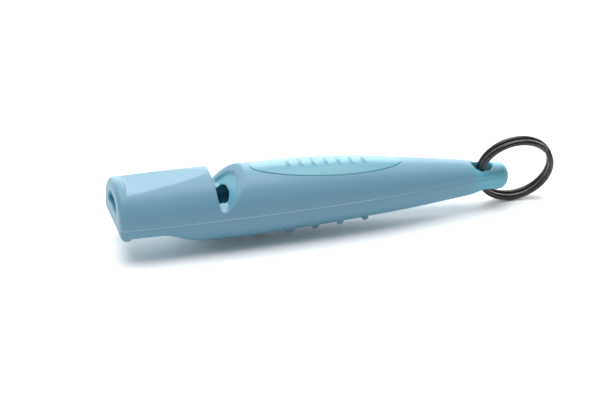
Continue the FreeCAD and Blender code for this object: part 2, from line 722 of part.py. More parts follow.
def makePlug():
    # stepped disc that closes the chamber
    plug = newBody("ChamberPlug", "chamber_plug")
    start = size("plug_front")
    end = start + size("plug_thick")
    share = (end - size("chamber_mid")) / (size("chamber_back") - size("chamber_mid"))
    startShare = (start - size("chamber_mid")) / (size("chamber_back") - size("chamber_mid"))
    drop = size("chamber_radius") - size("chamber_back_radius")
    radius = size("chamber_radius") - drop * startShare
    backRadius = size("chamber_radius") - drop * share
    sketch = newSketch(plug, "PlugProfile", "XZ_Plane")
    sketch.AttachmentOffset = FreeCAD.Placement(
        FreeCAD.Vector(size("mouth_x"), size("seam_z"), 0), FreeCAD.Rotation(0, 0, 0))
    sketch.setExpression("AttachmentOffset.Base.x", "Sizes.mouth_x")
    sketch.setExpression("AttachmentOffset.Base.y", "Sizes.seam_z")
    spots = [(start, 0.0), (start, radius - 0.5), (start + 0.5, radius - 0.02),
             (end, backRadius - 0.02), (end, 0.0)]
    for index, spot in enumerate(spots):
        after = spots[(index + 1) % len(spots)]
        sketch.addGeometry(Part.LineSegment(
            FreeCAD.Vector(spot[0], spot[1], 0), FreeCAD.Vector(after[0], after[1], 0)), False)
    for index in range(len(spots)):
        sketch.addConstraint(Sketcher.Constraint("Coincident", index, 2, (index + 1) % len(spots), 1))
    bindSpots(sketch, [
        ("DistanceX", 0, 1, start, "Sizes.plug_front"),
        ("DistanceX", 4, 1, end, "Sizes.plug_front + Sizes.plug_thick"),
    ])
    turned = plug.newObject("PartDesign::Revolution", "PlugTurned")
    turned.Profile = sketch
    turned.ReferenceAxis = (sketch, ["H_Axis"])
    turned.Angle = 360.0
    doc.recompute()
    return plug


def makeRing():
    # two turns of round wire side by side, with a wire end showing on each face
    ring = newBody("SplitRing", "split_ring")
    wire = size("wire_radius")
    step = size("turn_step") / 2.0
    reach = size("ring_radius")
    waist = math.sqrt(wire * wire - step * step)
    sketch = newSketch(ring, "RingSection", "XZ_Plane")
    left = FreeCAD.Vector(reach - waist, 0, 0)
    right = FreeCAD.Vector(reach + waist, 0, 0)
    sketch.addGeometry(Part.Arc(right, FreeCAD.Vector(reach, step + wire, 0), left), False)
    sketch.addGeometry(Part.Arc(left, FreeCAD.Vector(reach, -step - wire, 0), right), False)
    sketch.addConstraint(Sketcher.Constraint("Coincident", 0, 2, 1, 1))
    sketch.addConstraint(Sketcher.Constraint("Coincident", 1, 2, 0, 1))
    rows = [
        (Sketcher.Constraint("Radius", 0, wire), "Sizes.wire_radius"),
        (Sketcher.Constraint("Radius", 1, wire), "Sizes.wire_radius"),
        (Sketcher.Constraint("DistanceX", -1, 1, 0, 3, reach), "Sizes.ring_radius"),
        (Sketcher.Constraint("DistanceX", -1, 1, 1, 3, reach), "Sizes.ring_radius"),
        (Sketcher.Constraint("DistanceY", -1, 1, 0, 3, step), "Sizes.turn_step / 2"),
        (Sketcher.Constraint("DistanceY", 1, 3, -1, 1, step), "Sizes.turn_step / 2"),
    ]
    for constraint, text in rows:
        place = sketch.addConstraint(constraint)
        sketch.setExpression("Constraints[%d]" % place, text)
    turned = ring.newObject("PartDesign::Revolution", "RingTurned")
    turned.Profile = sketch
    turned.ReferenceAxis = (sketch, ["V_Axis"])
    turned.Angle = 360.0
    doc.recompute()
    # wire ends: a narrow gap through the upper turn, and one through the lower turn further round
    for name, way, angle in (("UpperEnd", 1, 30.0), ("LowerEnd", -1, 8.0)):
        cut = newSketch(ring, name + "Outline", "XY_Plane")
        c = math.cos(math.radians(angle))
        d = math.sin(math.radians(angle))
        half = size("end_gap") / 2.0
        corners = [(reach - 2.0, -half), (reach + 2.0, -half), (reach + 2.0, half), (reach - 2.0, half)]
        spots = [FreeCAD.Vector(x * c - y * d, x * d + y * c, 0) for x, y in corners]
        for index in range(4):
            cut.addGeometry(Part.LineSegment(spots[index], spots[(index + 1) % 4]), False)
        cut.AttachmentOffset = FreeCAD.Placement(FreeCAD.Vector(0, 0, way * 0.12), FreeCAD.Rotation(0, 0, 0))
        before = ring.Shape.Volume
        pocket = ring.newObject("PartDesign::Pocket", name)
        pocket.Profile = cut
        pocket.Length = 4.0
        pocket.Reversed = way > 0
        doc.recompute()
        if not ring.Shape.Volume < before - 0.05:
            raise RuntimeError(name + " cuts nothing")
    ring.Placement = FreeCAD.Placement(
        FreeCAD.Vector(size("mouth_x") + size("ring_x"), size("ring_y"), size("ring_z")),
        FreeCAD.Rotation(FreeCAD.Vector(1, 0, 0), 90.0 + size("ring_lean")))
    ring.setExpression("Placement.Base.x", "Sizes.mouth_x + Sizes.ring_x")
    ring.setExpression("Placement.Base.y", "Sizes.ring_y")
    ring.setExpression("Placement.Base.z", "Sizes.ring_z")
    doc.recompute()
    return ring


upperHalf = makeUpperHalf()
lowerHalf = makeLowerHalf()
thumbPad, padSeat = makeThumbPad()
upperOpen = combine("Part::Cut", "UpperRamped", upperHalf, makeRampTool())
upperShell = combine("Part::Cut", "UpperShell", upperOpen, padSeat)
pieces = {
    "upper_shell": upperShell,
    "lower_shell": lowerHalf,
    "windway_block": makeBlock(),
    "chamber_plug": makePlug(),
    "thumb_pad": thumbPad,
    "split_ring": makeRing(),
}
doc.recompute()
for label, piece in pieces.items():
    piece.Label = label

for item in doc.Objects:
    if "Invalid" in item.State or "Error" in item.State:
        raise RuntimeError("%s is %s" % (item.Name, item.State))
for label, piece in pieces.items():
    shape = piece.Shape
    if shape.isNull() or not shape.isValid() or len(shape.Solids) != 1:
        raise RuntimeError(label + " is not one sound solid")

os.makedirs("parts", exist_ok=True)
for label, piece in pieces.items():
    piece.Shape.exportStep("parts/%s.step" % label)
    box = piece.Shape.optimalBoundingBox()
    print("%-14s %8.1f mm3  x %.2f..%.2f  y %.2f..%.2f  z %.2f..%.2f" % (
        label, piece.Shape.Volume, box.XMin, box.XMax, box.YMin, box.YMax, box.ZMin, box.ZMax))
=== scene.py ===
import math

import bmesh
import bpy
from mathutils import Matrix, Vector


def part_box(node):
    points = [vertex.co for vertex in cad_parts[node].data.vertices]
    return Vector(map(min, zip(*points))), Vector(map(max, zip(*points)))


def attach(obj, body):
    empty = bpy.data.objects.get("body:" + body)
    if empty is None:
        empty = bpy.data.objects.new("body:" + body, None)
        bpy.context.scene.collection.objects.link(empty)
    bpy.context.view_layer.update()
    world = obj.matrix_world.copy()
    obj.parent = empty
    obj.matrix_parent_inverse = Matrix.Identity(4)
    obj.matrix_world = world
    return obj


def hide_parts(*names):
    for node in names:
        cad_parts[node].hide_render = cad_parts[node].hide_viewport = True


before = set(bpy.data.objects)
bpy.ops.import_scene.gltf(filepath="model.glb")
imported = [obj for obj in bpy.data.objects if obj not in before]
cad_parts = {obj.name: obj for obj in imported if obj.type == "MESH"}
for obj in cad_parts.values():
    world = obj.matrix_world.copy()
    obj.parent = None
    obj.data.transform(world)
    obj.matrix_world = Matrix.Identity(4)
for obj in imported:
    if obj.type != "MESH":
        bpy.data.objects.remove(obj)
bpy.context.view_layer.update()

mm = 0.001
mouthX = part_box("upper_shell")[0].x
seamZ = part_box("upper_shell")[0].z
scene = bpy.context.scene
clearWide = 12  # mm either side, past the widest part of the body


cameraSetup = {
    "azimuth": -14.35, "elevation": 27.0, "distance": 0.700, "lens": 209.2,
    "aim": (-4.72, 0.0, 7.72),  # mm, the point the framing is measured from
    "aimRight": 2.54, "aimUp": 1.72,  # mm, where that point sits from the middle of the view
    "clip": (0.01, 20),
}


def makeCamera(setup):
    azimuth, elevation = math.radians(setup["azimuth"]), math.radians(setup["elevation"])
    back = Vector((math.sin(azimuth) * math.cos(elevation),
                   -math.cos(azimuth) * math.cos(elevation), math.sin(elevation)))
    right = Vector((math.cos(azimuth), math.sin(azimuth), 0))
    up = back.cross(right)
    camera = bpy.data.objects.new("camera", bpy.data.cameras.new("camera"))
    scene.collection.objects.link(camera)
    camera.data.sensor_width = 36
    camera.data.lens = setup["lens"]
    camera.data.clip_start, camera.data.clip_end = setup["clip"]
    aim = Vector(setup["aim"]) * mm
    camera.location = (aim + back * setup["distance"]
                       - right * setup["aimRight"] * mm - up * setup["aimUp"] * mm)
    camera.rotation_mode = "QUATERNION"
    camera.rotation_quaternion = back.to_track_quat("Z", "Y")
    scene.camera = camera


lightSetup = {
    "topSize": (1.0, 0.7), "topPower": 9.7, "topAt": (-0.03, 0.08, 0.85),
    "backSize": (2.6, 0.8), "backPower": 25.5, "backAt": (0.3, 1.17, 0.48),
    "frontSize": (0.9, 0.5), "frontPower": 0.3, "frontAt": (-0.5, -0.8, 0.45),
    "sky": 0.24, "skyColour": (0.93, 0.965, 1.0),
    "floorColour": (0.97, 0.97, 0.97), "floorRoughness": 0.7, "floorHalf": 6,
}


def areaLight(name, size, power, at, aim=(0, 0, 0.008)):
    lamp = bpy.data.lights.new(name, "AREA")
    lamp.shape = "RECTANGLE"
    lamp.size, lamp.size_y = size
    lamp.energy = power
    holder = bpy.data.objects.new(name, lamp)
    scene.collection.objects.link(holder)
    holder.location = at
    holder.rotation_mode = "QUATERNION"
    holder.rotation_quaternion = (Vector(at) - Vector(aim)).to_track_quat("Z", "Y")


def makeStudio(setup):
    for side in ("top", "back", "front"):
        areaLight("softbox" + side.title(), setup[side + "Size"], setup[side + "Power"], setup[side + "At"])
    world = bpy.data.worlds.new("studio")
    scene.world = world
    world.use_nodes = True
    background = world.node_tree.nodes["Background"]
    background.inputs["Color"].default_value = (*setup["skyColour"], 1)
    background.inputs["Strength"].default_value = setup["sky"]
    mesh = bpy.data.meshes.new("floor")
    half = setup["floorHalf"]
    corners = [(-half, -half, 0), (half, -half, 0), (half, half, 0), (-half, half, 0)]
    mesh.from_pydata(corners, [], [(0, 1, 2, 3)])
    floor = bpy.data.objects.new("floor", mesh)
    scene.collection.objects.link(floor)
    floor.data.materials.append(floorPaper(setup["floorColour"], setup["floorRoughness"]))
    scene.view_settings.view_transform = "Standard"
    scene.view_settings.look = "None"


def floorPaper(colour, roughness):
    material = bpy.data.materials.new("floorPaper")
    material.use_nodes = True
    shader = material.node_tree.nodes["Principled BSDF"]
    shader.inputs["Base Color"].default_value = (*colour, 1)
    shader.inputs["Roughness"].default_value = roughness
    shader.inputs["Specular IOR Level"].default_value = 0.2
    return material


plasticDepth = {  # how far light soaks into the plastic, and the skin's bump
    "weight": 0.12, "radius": (0.3, 0.6, 0.8), "scale": 0.0012, "ior": 1.5, "bump": 0.6,
}
shellFinish = {
    "colour": (0.142, 0.318, 0.415), "deep": (0.131, 0.306, 0.402), "roughness": 0.45,
    "sparkScale": 5200, "sparkDepth": 0.000014, "cloudScale": 90,
    # painted highlight along the seam, for light caught on its flash ridge: colour, height band, fade and
    # softness
    "seamHighlightColour": (0.36, 0.56, 0.66), "seamHighlightLow": -0.11, "seamHighlightHigh": 0.02, "seamHighlightEnds": (58.0, 66.0),
    "seamHighlightSoft": 0.03,
}
smoothFinish = {
    "colour": (0.11, 0.375, 0.47), "deep": (0.1, 0.36, 0.455), "roughness": 0.36,
    "sparkScale": 9000, "sparkDepth": 0.000003, "cloudScale": 120,
}
padFinish = {
    "colour": (0.128, 0.36, 0.44), "deep": (0.119, 0.347, 0.427), "roughness": 0.33,
    "sparkScale": 8000, "sparkDepth": 0.000004, "cloudScale": 100,
}
wireFinish = {
    "colour": (0.006, 0.006, 0.0065), "worn": (0.03, 0.03, 0.031), "roughness": 0.33,
    "rubScale": 700, "smearScale": 2600, "pitScale": 3000, "pitDepth": 0.000006,
    "coat": 0.2, "coatRoughness": 0.15,
}


def objectPoint(tree):
    return tree.nodes.new("ShaderNodeTexCoord").outputs["Object"]


def noiseAt(tree, scale, detail=3.0, rough=0.55):
    noise = tree.nodes.new("ShaderNodeTexNoise")
    noise.inputs["Scale"].default_value = scale
    noise.inputs["Detail"].default_value = detail
    noise.inputs["Roughness"].default_value = rough
    tree.links.new(objectPoint(tree), noise.inputs["Vector"])
    return noise.outputs["Fac"]


def spreadTo(tree, value, low, high, fromLow=0.3, fromHigh=0.7):
    spread = tree.nodes.new("ShaderNodeMapRange")
    spread.inputs["From Min"].default_value = fromLow
    spread.inputs["From Max"].default_value = fromHigh
    spread.inputs["To Min"].default_value = low
    spread.inputs["To Max"].default_value = high
    tree.links.new(value, spread.inputs["Value"])
    return spread.outputs["Result"]


def blendColours(tree, share, first, second):
    mix = tree.nodes.new("ShaderNodeMix")
    mix.data_type = "RGBA"
    mix.inputs["A"].default_value = (*first, 1)
    mix.inputs["B"].default_value = (*second, 1)
    tree.links.new(share, mix.inputs["Factor"])
    return mix.outputs["Result"]


def paintedSeamHighlight(tree, colour, finish):
    # painted highlight: a paler band along the seam, standing in for light caught on the seam's flash ridge;
    # it dies out towards the tail
    parts = tree.nodes.new("ShaderNodeSeparateXYZ")
    tree.links.new(objectPoint(tree), parts.inputs["Vector"])
    soft = finish["seamHighlightSoft"] * mm
    low, high = seamZ + finish["seamHighlightLow"] * mm, seamZ + finish["seamHighlightHigh"] * mm
    rise = spreadTo(tree, parts.outputs["Z"], 0.0, 1.0, low - soft, low + soft)
    fall = spreadTo(tree, parts.outputs["Z"], 1.0, 0.0, high - soft, high + soft)
    starts, ends = (mouthX + end * mm for end in finish["seamHighlightEnds"])
    fade = spreadTo(tree, parts.outputs["X"], 1.0, 0.0, starts, ends)
    share = rise
    for part in (fall, fade):
        times = tree.nodes.new("ShaderNodeMath")
        times.operation = "MULTIPLY"
        tree.links.new(share, times.inputs[0])
        tree.links.new(part, times.inputs[1])
        share = times.outputs["Value"]
    mix = tree.nodes.new("ShaderNodeMix")
    mix.data_type = "RGBA"
    mix.inputs["B"].default_value = (*finish["seamHighlightColour"], 1)
    tree.links.new(share, mix.inputs["Factor"])
    tree.links.new(colour, mix.inputs["A"])
    return mix.outputs["Result"]


def mouldedPlastic(name, finish):
    # tinted plastic with faint flow clouds and a fine spark-eroded skin
    material = bpy.data.materials.new(name)
    material.use_nodes = True
    tree = material.node_tree
    shader = tree.nodes["Principled BSDF"]
    cloud = noiseAt(tree, finish["cloudScale"], 2.0)
    colour = blendColours(tree, spreadTo(tree, cloud, 0.0, 1.0), finish["colour"], finish["deep"])
    # painted highlight along the seam
    if "seamHighlightColour" in finish:
        colour = paintedSeamHighlight(tree, colour, finish)
    tree.links.new(colour, shader.inputs["Base Color"])
    grain = noiseAt(tree, finish["sparkScale"] * 0.4, 2.0)
    tree.links.new(spreadTo(tree, grain, finish["roughness"] - 0.03, finish["roughness"] + 0.05),
                   shader.inputs["Roughness"])
    bump = tree.nodes.new("ShaderNodeBump")
    bump.inputs["Strength"].default_value = plasticDepth["bump"]
    bump.inputs["Distance"].default_value = finish["sparkDepth"]
    tree.links.new(noiseAt(tree, finish["sparkScale"], 2.0), bump.inputs["Height"])
    tree.links.new(bump.outputs["Normal"], shader.inputs["Normal"])
    shader.inputs["IOR"].default_value = plasticDepth["ior"]
    shader.inputs["Subsurface Weight"].default_value = plasticDepth["weight"]
    shader.inputs["Subsurface Radius"].default_value = plasticDepth["radius"]
    shader.inputs["Subsurface Scale"].default_value = plasticDepth["scale"]
    return material


def blackenedWire(name, finish):
    # black coated spring wire, with a little bare steel showing in rub marks
    material = bpy.data.materials.new(name)
    material.use_nodes = True
    tree = material.node_tree
    shader = tree.nodes["Principled BSDF"]
    rub = spreadTo(tree, noiseAt(tree, finish["rubScale"], 4.0), 0.0, 0.7, 0.6, 0.8)
    tree.links.new(blendColours(tree, rub, finish["colour"], finish["worn"]), shader.inputs["Base Color"])
    tree.links.new(spreadTo(tree, noiseAt(tree, finish["smearScale"]), finish["roughness"] - 0.04,
                            finish["roughness"] + 0.1), shader.inputs["Roughness"])
    bump = tree.nodes.new("ShaderNodeBump")
    bump.inputs["Strength"].default_value = 0.3
    bump.inputs["Distance"].default_value = finish["pitDepth"]
    tree.links.new(noiseAt(tree, finish["pitScale"], 2.0), bump.inputs["Height"])
    tree.links.new(bump.outputs["Normal"], shader.inputs["Normal"])
    shader.inputs["Coat Weight"].default_value = finish["coat"]
    shader.inputs["Coat Roughness"].default_value = finish["coatRoughness"]
    return material


# one row per cross-section, all mm: along from the mouth, half width, height over the seam,
# depth under it, and how square the upper half is (2 is an ellipse)
bodyRows = [
    (0.0, 8.06, 7.5, 7.0, 2.05),
    (6.8, 8.13, 7.52, 7.0, 2.05),
    (13.6, 8.13, 7.54, 7.05, 2.05),
    (20.5, 8.08, 7.45, 7.05, 2.1),
    (27.3, 7.98, 7.28, 7.0, 2.1),
    (34.1, 7.73, 7.13, 6.8, 2.1),
    (41.0, 7.4, 6.85, 6.55, 2.1),
    (47.8, 6.95, 6.35, 6.2, 2.08),
    (54.7, 6.35, 5.58, 5.85, 2.06),
    (61.5, 5.4, 4.55, 5.5, 2.04),
    (68.3, 4.35, 3.55, 5.0, 2.02),
    (75.2, 3.42, 2.45, 4.4, 2.0),
    (82.0, 2.8, 1.8, 3.8, 2.0),
]
lowerSquare = 2.06  # how square the lower half is, all along
tabStep = {"start": 73.2, "length": 2.2, "drop": 0.5}  # the tail tab sits a little lower
lipRound = 1.1  # rounding of the mouth's outer edge
seamStep = {  # the upper half sits inside the lower, by less towards the tail
    "inset": 0.1, "least": 0.025, "fadeFrom": 54.0, "fadeTo": 65.0, "reach": 0.35,
}


def rowAt(along):
    # smooth curve through the rows
    rows = bodyRows
    index = max(0, min(len(rows) - 2, sum(1 for row in rows if row[0] <= along) - 1))
    before, low, high, after = (rows[max(0, min(len(rows) - 1, index + k))] for k in (-1, 0, 1, 2))
    share = (along - low[0]) / (high[0] - low[0])
    values = []
    for a, b, c, d in zip(before, low, high, after):
        values.append(0.5 * (2 * b + (c - a) * share + (2 * a - 5 * b + 4 * c - d) * share ** 2
                             + (3 * b - a - 3 * c + d) * share ** 3))
    share = min(1.0, max(0.0, (along - tabStep["start"]) / tabStep["length"]))
    values[2] -= tabStep["drop"] * share * share * (3 - 2 * share)
    return values[1:]


def crossSection(along, grow=0.0, count=96):
    wide, over, under, square = rowAt(max(0.0, along))
    if along < lipRound:
        grow -= lipRound - math.sqrt(max(0.0, lipRound ** 2 - (lipRound - max(0.0, along)) ** 2))
    points = []
    for step in range(count):
        turn = 2 * math.pi * step / count
        power = 2.0 / (square if turn <= math.pi else lowerSquare)
        high = (over if turn <= math.pi else under) + grow
        y = (wide + grow) * math.copysign(abs(math.cos(turn)) ** power, math.cos(turn))
        z = high * math.copysign(abs(math.sin(turn)) ** power, math.sin(turn))
        points.append(Vector((mouthX + along * mm, y * mm, seamZ + z * mm)))
    return points


def seamInset(along):
    look = seamStep
    share = min(1.0, max(0.0, (along - look["fadeFrom"]) / (look["fadeTo"] - look["fadeFrom"])))
    return look["inset"] + (look["least"] - look["inset"]) * share * share * (3 - 2 * share)


def newPiece(name, bm):
    mesh = bpy.data.meshes.new(name)
    bm.normal_update()
    bm.to_mesh(mesh)
    bm.free()
    piece = bpy.data.objects.new(name, mesh)
    scene.collection.objects.link(piece)
    return piece


def skinRings(name, rings):
    # closed skin through rings of equal length, capped at both ends
    bm = bmesh.new()
    grid = [[bm.verts.new(point) for point in ring] for ring in rings]
    for first, second in zip(grid, grid[1:]):
        for index in range(len(first)):
            after = (index + 1) % len(first)
            bm.faces.new((first[index], first[after], second[after], second[index]))
    bm.faces.new(grid[0][::-1])
    bm.faces.new(grid[-1])
    bmesh.ops.recalc_face_normals(bm, faces=bm.faces)
    return newPiece(name, bm)


def bodySkin(name, start, end, step=0.7, grow=0.0, inside=False):
    count = max(2, round((end - start) / step))
    stops = [start + (end - start) * k / count for k in range(count + 1)]
    if start == 0.0:
        stops = [lipRound * k * k / 64 for k in range(8)] + [stop for stop in stops if stop >= lipRound]
    return skinRings(name, [crossSection(stop, grow - (seamInset(stop) if inside else 0)) for stop in stops])


def sidePrism(name, outline, halfWide):
    # outline in the side view (mm along from the mouth, mm over the seam), the same to both sides
    rings = [[Vector((mouthX + a * mm, side * halfWide * mm, seamZ + z * mm)) for a, z in outline]
             for side in (-1, 1)]
    return skinRings(name, rings)


def turnedAlong(name, outline, drop=0.0, count=64):
    # outline (mm along, mm radius) turned about the body's length
    rings = []
    for along, radius in outline:
        rings.append([Vector((mouthX + along * mm, radius * mm * math.cos(2 * math.pi * k / count),
                              seamZ - drop * mm + radius * mm * math.sin(2 * math.pi * k / count)))
                      for k in range(count)])
    return skinRings(name, rings)


def turnedUpright(name, outline, x, z, count=72):
    # outline (mm up, mm radius) turned about the vertical through x, z
    rings = []
    for up, radius in outline:
        rings.append([Vector((x + radius * mm * math.cos(2 * math.pi * k / count),
                              radius * mm * math.sin(2 * math.pi * k / count), z + up * mm))
                      for k in range(count)])
    return skinRings(name, rings)


def roundedLine(points, radius, steps=5):
    # the same closed outline with its corners rounded
    out = []
    count = len(points)
    for index, point in enumerate(points):
        here = Vector(point)
        toBefore = Vector(points[index - 1]) - here
        toAfter = Vector(points[(index + 1) % count]) - here
        reach = min(radius, toBefore.length * 0.45, toAfter.length * 0.45)
        start, end = here + toBefore.normalized() * reach, here + toAfter.normalized() * reach
        for step in range(steps + 1):
            share = step / steps
            spot = start.lerp(here, share).lerp(here.lerp(end, share), share)
            out.append((spot.x, spot.y))
    return out


def shape(piece, tool, way="DIFFERENCE", quick=False):
    cut = piece.modifiers.new("cut", "BOOLEAN")
    cut.operation = way
    cut.solver = "MANIFOLD" if quick else "EXACT"
    cut.object = tool
    settle(piece)
    bpy.data.objects.remove(tool)
    return piece


def settle(piece):
    # makes the modifiers' result the piece's own mesh
    bpy.context.view_layer.update()
    graph = bpy.context.evaluated_depsgraph_get()
    mesh = bpy.data.meshes.new_from_object(piece.evaluated_get(graph))
    old = piece.data
    piece.modifiers.clear()
    piece.data = mesh
    mesh.name = piece.name
    bpy.data.meshes.remove(old)
    return piece


def soften(piece, voxel, passes, extra=None, extraPasses=0):
    # even skin with eased edges, as moulding gives; extra(along, y, z) says where to ease more
    skin = piece.modifiers.new("skin", "REMESH")
    skin.mode = "VOXEL"
    skin.voxel_size = voxel * mm
    skin.use_smooth_shade = True
    ease = piece.modifiers.new("ease", "SMOOTH")
    ease.factor = 0.5
    ease.iterations = passes
    settle(piece)
    if extra:
        group = piece.vertex_groups.new(name="rim")
        for vertex in piece.data.vertices:
            weight = extra((vertex.co.x - mouthX) / mm, vertex.co.y / mm, (vertex.co.z - seamZ) / mm)
            if weight > 0:
                group.add([vertex.index], weight, "REPLACE")
        rim = piece.modifiers.new("rim", "SMOOTH")
        rim.factor = 0.5
        rim.iterations = extraPasses
        rim.vertex_group = "rim"
        settle(piece)
        piece.vertex_groups.clear()
    piece.data.polygons.foreach_set("use_smooth", [True] * len(piece.data.polygons))
    return piece


def aroundEye(along, y, z):
    # full weight at the eye's rim, none past rimReach
    away = math.hypot(along - eyeShape["x"], y)
    return min(1.0, max(0.0, (eyeShape["rimReach"] - away) / eyeShape["rimFade"]))


def finishPiece(piece, node, body, material, inner=None, isInner=None):
    piece.data.materials.clear()
    piece.data.materials.append(material)
    if inner:
        # smooth tool surfaces: tail tab, air slot, chamber and ramp hollow
        piece.data.materials.append(inner)
        for face in piece.data.polygons:
            spot, facing = face.center, face.normal
            if isInner((spot.x - mouthX) / mm, spot.y / mm, (spot.z - seamZ) / mm, facing):
                face.material_index = 1
    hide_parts(node)
    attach(piece, body)
    print(piece.name, len(piece.data.polygons), "faces")


smoothZones = {  # mm along from the mouth, and how deep under the skin the hollows begin
    "tab": 74.1, "slotEnd": 20.4, "slotHalf": 4.3, "slotLow": -0.8, "slotHigh": 4.75, "notchWall": 19.2,
    "rampEnd": 27.2, "rampDeep": 1.75, "chamberDeep": 0.9, "notchFloorEnd": 22.2,
}


def smoothHere(along, y, z, facing):
    zone = smoothZones
    if along > zone["tab"]:
        return True
    if along < zone["slotEnd"]:
        inSlot = along > 0.3 and abs(y) < zone["slotHalf"] and zone["slotLow"] < z < zone["slotHigh"]
        return inSlot and not (along > zone["notchWall"] and facing.x > 0.6)
    wide, over, under, square = rowAt(along)
    deep = zone["rampDeep"] if along < zone["rampEnd"] and z > 0 else zone["chamberDeep"]
    high = (over if z > 0 else under) - deep
    onNotchFloor = z > 0 and along < zone["notchFloorEnd"] and facing.z > 0.8
    return (abs(y) / (wide - deep)) ** 2 + (abs(z) / high) ** 2 < 1 and not onNotchFloor


upperShape = {
    "voxel": 0.2, "ease": 3,
    "facet": [(1.0, 14.0), (1.0, 5.98), (21.5, 7.57), (21.5, 14.0)],
    "beadFlat": 1.15, "beadBack": 1.5, "beadRound": 1.75, "beadClear": 0.6,
    "notch": [(20.3, 1.6), (21.85, 1.6), (27.0, 7.65), (32.0, 13.4), (19.3, 13.4)],
    "notchRound": 0.8,
    "rampRim": 1.85, "rampInset": 0.12, "rampHalf": 5.9,
    "windowHalf": 3.6, "windowMiddle": 1.5, "windowUp": 1.3, "windowDown": 0.75,
    "windowFrom": 20.6, "windowTo": 24.6,
    "underRoof": [(21.4, -1.0), (21.4, 0.9), (22.6, 1.5), (28.8, 4.2), (28.8, -1.0)], "underRoofHalf": 3.9,
    "chamber": [(28.7, 4.7), (38.0, 4.7), (50.0, 4.0), (62.0, 2.0)],
    # along, half width, floor, roof
    "slotMouth": (-0.5, 3.9, 1.55, 4.45), "slotExit": (20.8, 3.7, 1.55, 2.9),
    "blockSpace": [(1.3, -1.0), (1.3, 1.57), (20.4, 1.57), (20.4, -1.0)], "blockHalf": 4.2,
    "padSeat": 0.75,
}
eyeShape = {"x": 76.45, "drop": 1.17, "throat": 1.92, "waist": 0.4, "top": 4.2, "topWide": 2.7,
            "foot": 3.6, "footWide": 3.1, "rimReach": 4.0, "rimFade": 0.9}
tailBall = {"middle": 78.8, "radius": 3.2, "drop": 1.05}


def slotRing(along, half, floor, roof, count=24):
    # D-shaped air slot: flat floor, short sides, bowed roof
    points = [Vector((mouthX + along * mm, half * mm, seamZ + floor * mm))]
    for step in range(count + 1):
        turn = math.pi * step / count
        y = half * math.copysign(abs(math.cos(turn)) ** 0.75, math.cos(turn))
        points.append(Vector((mouthX + along * mm, y * mm,
                              seamZ + (floor + (roof - floor) * math.sin(turn) ** 0.75 + 0.001) * mm)))
    points.append(Vector((mouthX + along * mm, -half * mm, seamZ + floor * mm)))
    return points


def eyeTool(name):
    # hourglass hole for the ring
    look = eyeShape
    outline = [(-look["foot"] - 2, look["footWide"] + 1.5)]
    for step in range(-12, 13):
        end, wide = (look["top"], look["topWide"]) if step > 0 else (-look["foot"], look["footWide"])
        share = abs(step) / 12
        outline.append((look["waist"] + (end - look["waist"]) * share,
                        look["throat"] + (wide - look["throat"]) * share * share))
    outline.append((look["top"] + 2, look["topWide"] + 1.0))
    return turnedUpright(name, outline, mouthX + look["x"] * mm, seamZ - look["drop"] * mm)


def roundTail(piece):
    # keeps what lies inside a long tool with a ball end
    middle, radius = tailBall["middle"], tailBall["radius"]
    outline = [(-5, clearWide), (40, clearWide), (77.0, clearWide), (middle, radius)]
    for step in range(1, 17):
        turn = step * math.pi / 32
        outline.append((middle + radius * math.sin(turn), max(0.05, radius * math.cos(turn))))
    return shape(piece, turnedAlong("tailBall", outline, drop=tailBall["drop"]), "INTERSECT")


def halfBody(name, way):
    # the upper half reaches a little into the lower one, which shows a fine ledge along the seam
    body = bodySkin(name, 0.0, 82.0, inside=way > 0)
    edge = -seamStep["reach"] if way > 0 else 0.0
    keep = [(-4, edge), (90, edge), (90, 20 * way), (-4, 20 * way)]
    shape(body, sidePrism("keep", keep if way > 0 else keep[::-1], 20), "INTERSECT")
    return roundTail(body)


def beadSolid(look):
    # the bead round the mouth keeps the full section, with its back rolled over
    stops = [(-0.5, look["beadClear"]), (look["beadFlat"], look["beadClear"])]
    for step in range(1, 11):
        share = step / 10
        inset = look["beadRound"] * (1 - math.sqrt(1 - (share * 0.98) ** 2))
        stops.append((look["beadFlat"] + look["beadBack"] * share, -inset))
    rings = []
    for along, grow in stops:
        ring = crossSection(max(lipRound, along), grow)
        for point in ring:
            point.x = mouthX + along * mm
        rings.append(ring)
    return skinRings("bead", rings)


def eggRing(along, look, count=48):
    # outline of the hole in the ramp, fuller above than below
    points = []
    for step in range(count):
        turn = 2 * math.pi * step / count
        high = look["windowUp"] if turn < math.pi else look["windowDown"]
        y = look["windowHalf"] * math.copysign(abs(math.cos(turn)) ** 0.85, math.cos(turn))
        z = look["windowMiddle"] + high * math.copysign(abs(math.sin(turn)) ** 1.15, math.sin(turn))
        points.append(Vector((mouthX + along * mm, y * mm, seamZ + z * mm)))
    return points


def aroundRamp(along, y, z):
    # weights for easing the hollow's rim into a dish
    if not 20.9 < along < 27.4 or z < 1.9:
        return 0.0
    wide, over, under, square = rowAt(along)
    rim = (abs(y) / (wide - 0.5)) ** 2 + (z / (over - 0.5)) ** 2
    return min(1.0, max(0.0, (1.0 - rim) * 5)) * min(1.0, (z - 1.9) / 0.5)


